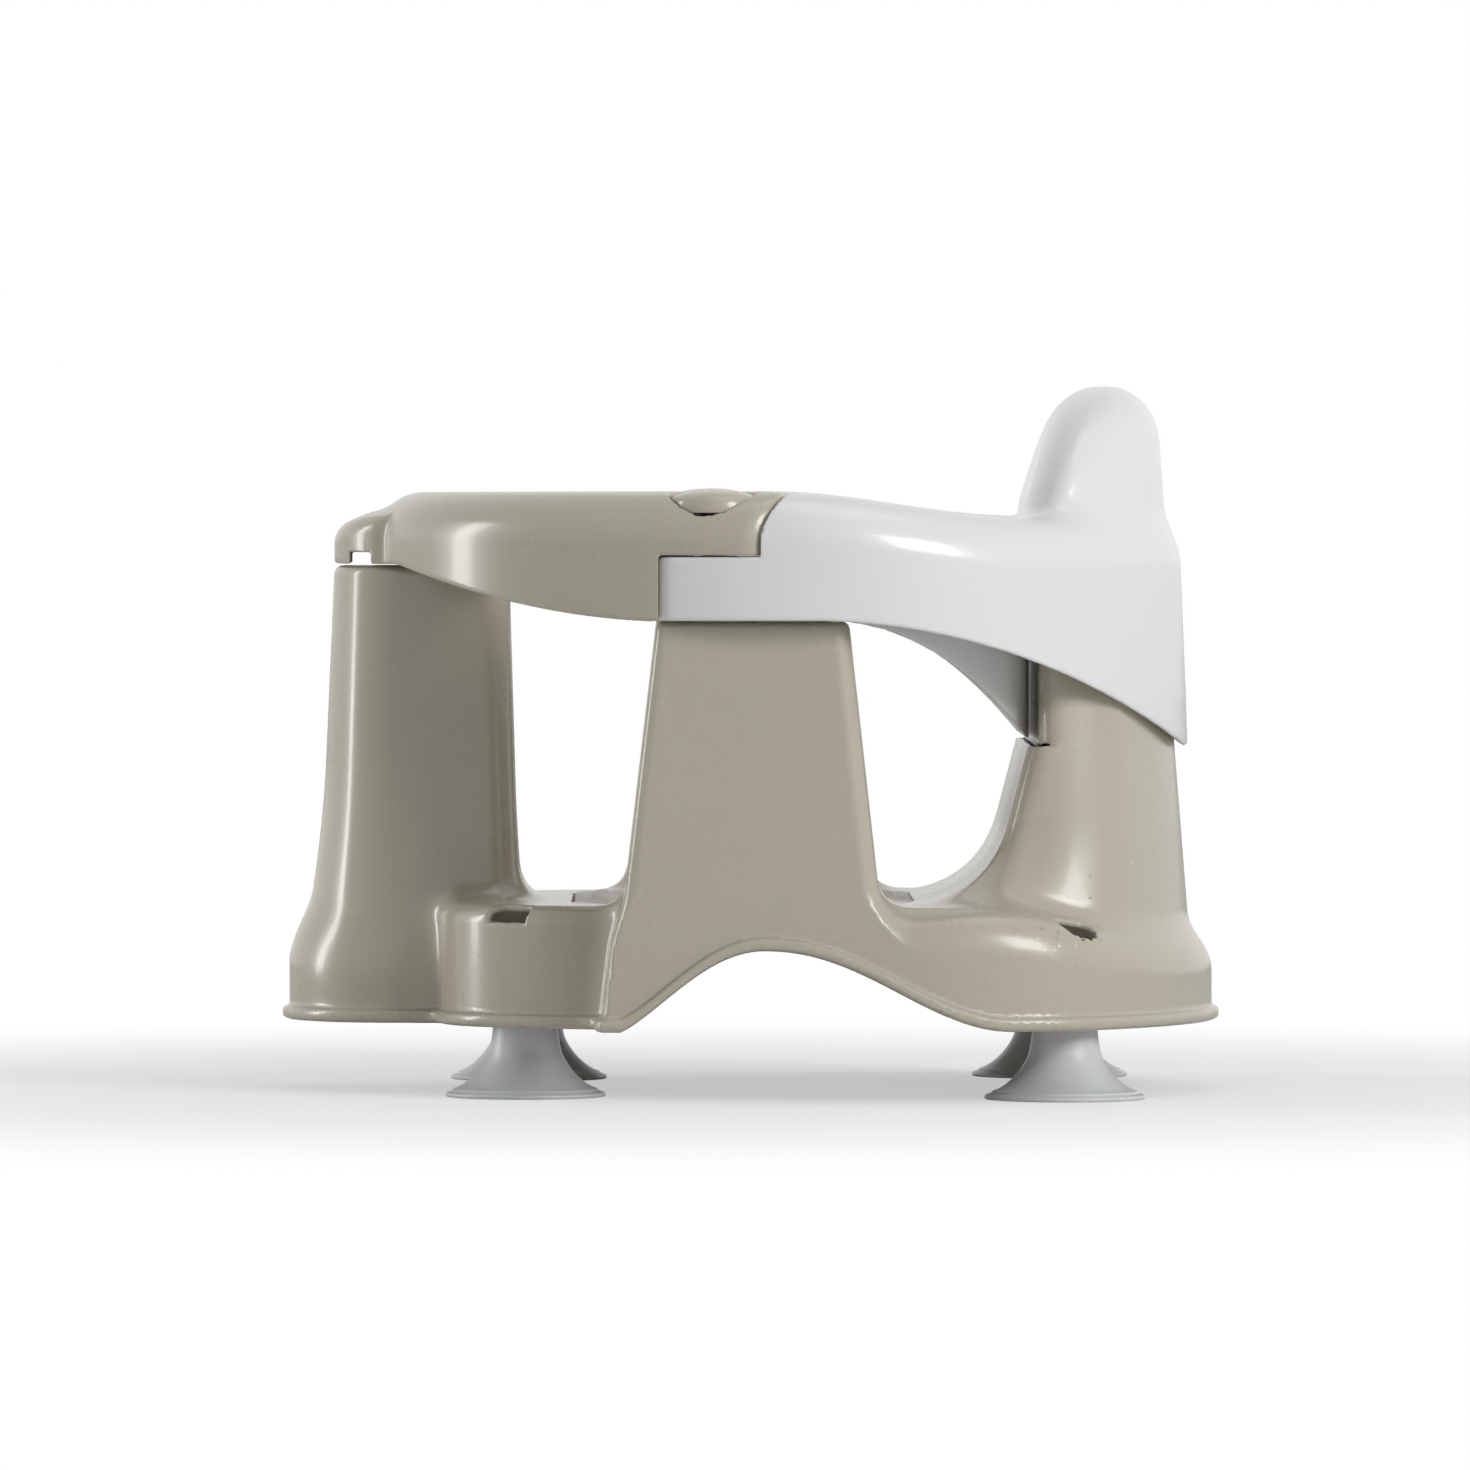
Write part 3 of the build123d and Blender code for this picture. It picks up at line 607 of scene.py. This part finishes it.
for node in sorted(n for n in nodes if n.startswith("suction_cup")):
    low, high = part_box(node)
    cup = turned(node + "_rubber", CUP_STROKES)
    cup.location = ((low.x + high.x) / 2, (low.y + high.y) / 2, 0)
    cups[node] = cup
print("cups", len(cups))

# %% Button and hinge cap
CAP_TOP, CAP_R, SKIRT_LOW = 230.2, 17.0, 221.5


def cap_strokes(tube_low, bore):
    tube = bore + 2.0
    return [
        [(0, CAP_TOP), (5.5, CAP_TOP - 0.25), (10.5, CAP_TOP - 1.0), (14.2, CAP_TOP - 2.2),
         (16.2, CAP_TOP - 3.9), (CAP_R, CAP_TOP - 6.4)],
        [(CAP_R, CAP_TOP - 6.4), (CAP_R, SKIRT_LOW)], [(CAP_R, SKIRT_LOW), (14.8, SKIRT_LOW)],
        [(14.8, SKIRT_LOW), (14.8, CAP_TOP - 6)], [(14.8, CAP_TOP - 6), (11.8, CAP_TOP - 3.6)],
        [(11.8, CAP_TOP - 3.6), (tube, CAP_TOP - 3.6)], [(tube, CAP_TOP - 3.6), (tube, tube_low)],
        [(tube, tube_low), (bore, tube_low)], [(bore, tube_low), (bore, CAP_TOP - 4.5)],
        [(bore, CAP_TOP - 4.5), (0, CAP_TOP - 4.5)], [(0, CAP_TOP - 4.5), (0, CAP_TOP)],
    ]


caps = {}
for node, bore, low in (("release_button", 4.5, 219.0), ("hinge_cap", 4.0, 219.0)):
    cap = turned(node + "_dome", cap_strokes(low, bore))
    near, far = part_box(node)
    cap.location = ((near.x + far.x) / 2, (near.y + far.y) / 2, 0)
    caps[node] = cap
    print(node, [round(v, 4) for v in cap.location], "cad", round(near.z, 4), round(far.z, 4))


# %% [markdown]
# The seat mat is a soft rubber sheet in a shallow recess. Small low domes all over it keep the baby from
# sliding. They are real geometry, because they catch the light at a glance.
# %% Seat mat
def mat_field(x, y, z):
    pitch = 11.0
    u = np.abs((x + pitch / 2) % pitch - pitch / 2)
    v = np.abs((y - MAT_Y + pitch / 2) % pitch - pitch / 2)
    edge = mat_plan(x, y) + 0.3
    dome = 0.75 * np.clip(1 - (u * u + v * v) / 12.0, 0, 1) * ramp((-edge - 3.0) / 2.0)
    sheet = round_max(edge, z - SEAT - 0.55 - dome, 0.8)
    sheet = np.maximum(sheet, SEAT - 1.35 - z)
    drain = drain_holes(x, y) - 1.0
    return round_max(sheet, -drain, 0.5)


mat = moulding("mat_rubber_sheet", mat_field, (-80, -72, 70.5), (80, 66, 76), 0.9, 0.5)

# %% [markdown]
# Shader maths reads best as plain expressions, so one small class wraps a socket. Adding or multiplying
# two wrapped sockets places the Math node that does it, and colours go through Mix nodes.
# %% A socket that does sums
class Wire:
    """One output socket of a material, with arithmetic."""

    def __init__(self, shader, socket):
        self.shader, self.socket = shader, socket

    def combine(self, kind, left, right):
        return self.shader.node("ShaderNodeMath", dict(operation=kind), {0: left, 1: right})

    def __add__(self, other):
        return self.combine("ADD", self, other)

    def __radd__(self, other):
        return self.combine("ADD", other, self)

    def __mul__(self, other):
        return self.combine("MULTIPLY", self, other)

    def __rmul__(self, other):
        return self.combine("MULTIPLY", other, self)


class Finish:
    """A material with one Principled shader, built from named finishes."""

    def __init__(self, name, **fixed):
        self.material = bpy.data.materials.new(name)
        self.material.use_nodes = True
        self.tree = self.material.node_tree
        self.skin = self.tree.nodes["Principled BSDF"]
        for socket, value in fixed.items():
            self.skin.inputs[socket.replace("_", " ")].default_value = value

    def node(self, kind, settings=None, sockets=None, output=0):
        made = self.tree.nodes.new(kind)
        for key, value in (settings or {}).items():
            setattr(made, key, value)
        for key, value in (sockets or {}).items():
            if isinstance(value, Wire):
                self.tree.links.new(value.socket, made.inputs[key])
            else:
                made.inputs[key].default_value = value
        return Wire(self, made.outputs[output])

    def noise(self, scale, detail=2.0, rough=0.5):
        place = self.node("ShaderNodeTexCoord", output="Object")
        return self.node("ShaderNodeTexNoise", None,
                         {"Vector": place, "Scale": scale, "Detail": detail, "Roughness": rough})

    def between(self, amount, a, b):
        return self.node("ShaderNodeMix", dict(data_type="RGBA"), {0: amount, 6: a, 7: b}, 2)

    def bump(self, height, distance, strength):
        sockets = {"Height": height, "Distance": distance, "Strength": strength}
        return self.node("ShaderNodeBump", None, sockets)

    def wear(self, socket, wire):
        self.tree.links.new(wire.socket, self.skin.inputs[socket])


def linear(r, g, b):
    """A colour as a camera stores it, turned into the renderer's linear light."""
    return tuple(((c / 255 + 0.055) / 1.055) ** 2.4 for c in (r, g, b)) + (1,)


# %% [markdown]
# Injection moulded polypropylene is glossy but never optically flat. The tool leaves a very fine grain,
# and handling leaves faint dull patches. A fine noise breaks up the highlights a little, a wider one
# moves the roughness by a few hundredths, and the widest shifts the colour so slightly that it is felt
# more than seen.
# %% Plastics
def moulded(name, tone, deep, rough, wave=0.00012, coat=0.25):
    finish = Finish(name, IOR=1.49, Coat_Roughness=0.08)
    wide = finish.noise(9.0, 3.0)
    fine_grain = finish.noise(900.0, 2.0)
    finish.wear("Base Color", finish.between(wide, tone, deep))
    finish.wear("Roughness", rough - 0.04 + finish.noise(26.0, 4.0) * 0.08)
    sheen = finish.noise(5.0, 1.0)
    finish.wear("Coat Weight", sheen * coat)
    finish.wear("Normal", finish.bump(fine_grain, wave * 0.3, 0.4))
    return finish.material


taupe = moulded("taupe_moulding", linear(190, 184, 167), linear(185, 179, 162), 0.27)
ivory = moulded("white_moulding", linear(238, 238, 238), linear(232, 232, 233), 0.24)


# %% [markdown]
# Suction cups are a soft clear-grey elastomer, so a little light goes into them and comes out again
# beside where it entered. The mat is the same kind of rubber with a matt, cloudy skin.
# %% Rubbers
def rubber(name, tone, deep, rough, through=0.0):
    finish = Finish(name, IOR=1.43, Subsurface_Weight=through, Subsurface_Scale=0.006)
    cloud = finish.noise(40.0, 4.0)
    finish.wear("Base Color", finish.between(cloud, tone, deep))
    finish.wear("Roughness", rough - 0.05 + cloud * 0.1)
    finish.wear("Normal", finish.bump(finish.noise(1400.0, 3.0), 0.00008, 0.6))
    return finish.material


cup_finish = rubber("cup_elastomer", linear(222, 222, 224), linear(212, 212, 215), 0.36, 0.25)
mat_finish = rubber("mat_elastomer", linear(226, 224, 218), linear(219, 217, 210), 0.62)


# %% [markdown]
# The pin, screws and spring are plain stainless steel with fine drawing marks. The bearings and the
# latch plunger are natural acetal, which looks like a duller, creamier plastic.
# %% Metal and acetal
def brushed(name, tone):
    finish = Finish(name, Metallic=1.0)
    streak = finish.noise(300.0, 5.0, 0.7)
    finish.wear("Base Color", finish.between(streak, tone, linear(150, 152, 155)))
    finish.wear("Roughness", 0.22 + streak * 0.2)
    finish.wear("Normal", finish.bump(streak, 0.00004, 0.5))
    return finish.material


steel = brushed("stainless_steel", linear(190, 192, 195))
acetal = moulded("acetal_bearing", linear(222, 222, 216), linear(214, 214, 207), 0.42, coat=0.1)
print("finishes", len(bpy.data.materials))

# %% [markdown]
# Each dressed piece now takes its finish, rides on its own body and stands in for the CAD node that it
# replaces. The button's spring is a steel copy of the CAD spring, and it rides with the bar. The hidden
# pins, screws and bearings keep their CAD shape and only get a finish.
# %% Hand the pieces over
def dress(piece, material, body, slot, *replaced):
    piece.data.materials.clear()
    piece.data.materials.append(material)
    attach(piece, body)
    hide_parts(*replaced)


dress(base, taupe, "root", "taupe_plastic", "base_shell")
dress(white, ivory, "root", "white_plastic", "back_ring")
dress(bar, taupe, "bar", "taupe_plastic", "front_bar")
dress(mat, mat_finish, "root", "mat_rubber", "seat_mat")
dress(caps["release_button"], taupe, "button", "taupe_plastic", "release_button")
dress(caps["hinge_cap"], taupe, "bar", "taupe_plastic", "hinge_cap")
for node, cup in cups.items():
    dress(cup, cup_finish, "root", "cup_rubber", node)
low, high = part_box("button_spring")
coil = nodes["button_spring"].copy()
coil.name, coil.data = "button_spring_coil", nodes["button_spring"].data.copy()
coil.parent = None
bpy.context.scene.collection.objects.link(coil)
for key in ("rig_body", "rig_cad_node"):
    if key in coil:
        del coil[key]
coil.data.polygons.foreach_set("use_smooth", [True] * len(coil.data.polygons))
dress(coil, steel, "bar", "steel", "button_spring")
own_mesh(coil)
print("spring height", round(high.z - low.z, 4))

# %% Pieces that keep their CAD shape
KEPT = {
    "steel": (steel, ("hinge_pin", "hinge_push_nut", "side_post_screws", "column_screws")),
    "acetal": (acetal, ("latch_plunger", "hinge_bush", "hinge_washer")),
}
for material, names in KEPT.values():
    for name in names:
        nodes[name].data.materials.clear()
        nodes[name].data.materials.append(material)
        nodes[name].data.polygons.foreach_set("use_smooth", [True] * len(nodes[name].data.polygons))
        nodes[name].data.set_sharp_from_angle(angle=math.radians(30))

# %% [markdown]
# The studio is a pale paper floor. Close to the seat it is real paper, so that it takes the shadow. Further
# out it fades into plain white for the camera alone, which adds no light to the object.
# %% Floor and background
def plane(name, size, z=0.0):
    half = size / 2
    mesh = bpy.data.meshes.new(name)
    corners = [(-half, -half, z), (half, -half, z), (half, half, z), (-half, half, z)]
    mesh.from_pydata(corners, [], [(0, 1, 2, 3)])
    made = bpy.data.objects.new(name, mesh)
    bpy.context.scene.collection.objects.link(made)
    return made


floor = plane("studio_floor", 60.0, -0.0002)
paper = Finish("studio_paper", Roughness=0.9)
paper.wear("Base Color", paper.between(paper.noise(3.0), (0.86, 0.86, 0.86, 1), (0.84, 0.84, 0.84, 1)))
spot = paper.node("ShaderNodeTexCoord", output="Object")
away = paper.node("ShaderNodeVectorMath", dict(operation="LENGTH"), {0: spot}, 1)
clear = paper.node("ShaderNodeMapRange", dict(interpolation_type="SMOOTHSTEP"),
                   {"Value": away, "From Min": 0.2, "From Max": 0.7, "To Min": 0.5, "To Max": 1.0})
seen = paper.node("ShaderNodeLightPath")
glowing = paper.node("ShaderNodeEmission", None, {"Strength": 1.0})
mixed = paper.node("ShaderNodeMixShader", None, {0: clear * seen, 2: glowing})
paper.tree.links.new(paper.skin.outputs[0], mixed.socket.node.inputs[1])
paper.tree.links.new(mixed.socket, paper.tree.nodes["Material Output"].inputs["Surface"])
floor.data.materials.append(paper.material)

world = bpy.data.worlds.new("studio_air")
bpy.context.scene.world = world
world.use_nodes = True
air = world.node_tree
glow = air.nodes["Background"]
path = air.nodes.new("ShaderNodeLightPath")
first = air.nodes.new("ShaderNodeMath")
first.operation = "MAXIMUM"
second = air.nodes.new("ShaderNodeMath")
second.operation = "MAXIMUM"
shade = air.nodes.new("ShaderNodeMix")
air.links.new(path.outputs["Is Camera Ray"], first.inputs[0])
air.links.new(path.outputs["Is Glossy Ray"], first.inputs[1])
air.links.new(first.outputs[0], second.inputs[0])
air.links.new(path.outputs["Is Transmission Ray"], second.inputs[1])
air.links.new(second.outputs[0], shade.inputs[0])
shade.inputs[2].default_value = 0.22
shade.inputs[3].default_value = 1.0
air.links.new(shade.outputs[0], glow.inputs["Strength"])
glow.inputs["Color"].default_value = (1, 1, 1, 1)


# %% [markdown]
# One softbox behind the camera's right shoulder gives the form, a tall strip behind the front post draws
# the narrow bright line down its edge, and a small panel above keeps the tops from going grey.
# %% Lamps
def lamp(name, place, aim, width, height, watts):
    light = bpy.data.lights.new(name, "AREA")
    light.shape = "RECTANGLE"
    light.size, light.size_y, light.energy = width, height, watts
    made = bpy.data.objects.new(name, light)
    made.location = place
    made.rotation_euler = (Vector(aim) - Vector(place)).to_track_quat("-Z", "Y").to_euler()
    bpy.context.scene.collection.objects.link(made)
    return made


MIDDLE = (0, 0, 0.14)
lamp("softbox_right", (1.5, 1.6, 1.1), MIDDLE, 0.8, 0.8, 27)
lamp("strip_left", (-0.35, -2.0, 0.4), MIDDLE, 0.3, 1.6, 20)
lamp("top_panel", (0.1, 0.4, 2.2), MIDDLE, 1.2, 1.2, 6)

# %% [markdown]
# The camera stands far away with a long lens, as a catalogue photographer would, so that the seat is
# seen almost without perspective.
# %% Camera
lens = bpy.data.cameras.new("long_lens")
lens.lens, lens.sensor_width = 350.2, 36.0
lens.clip_end = 100
camera = bpy.data.objects.new("catalogue_camera", lens)
camera.location = (5.5, -0.0387, 0.239)
look = Vector((0, -0.0060, 0.1355)) - camera.location
camera.rotation_euler = look.to_track_quat("-Z", "Y").to_euler()
bpy.context.scene.collection.objects.link(camera)
bpy.context.scene.camera = camera
bpy.context.scene.view_settings.view_transform = "Standard"

bpy.context.view_layer.update()
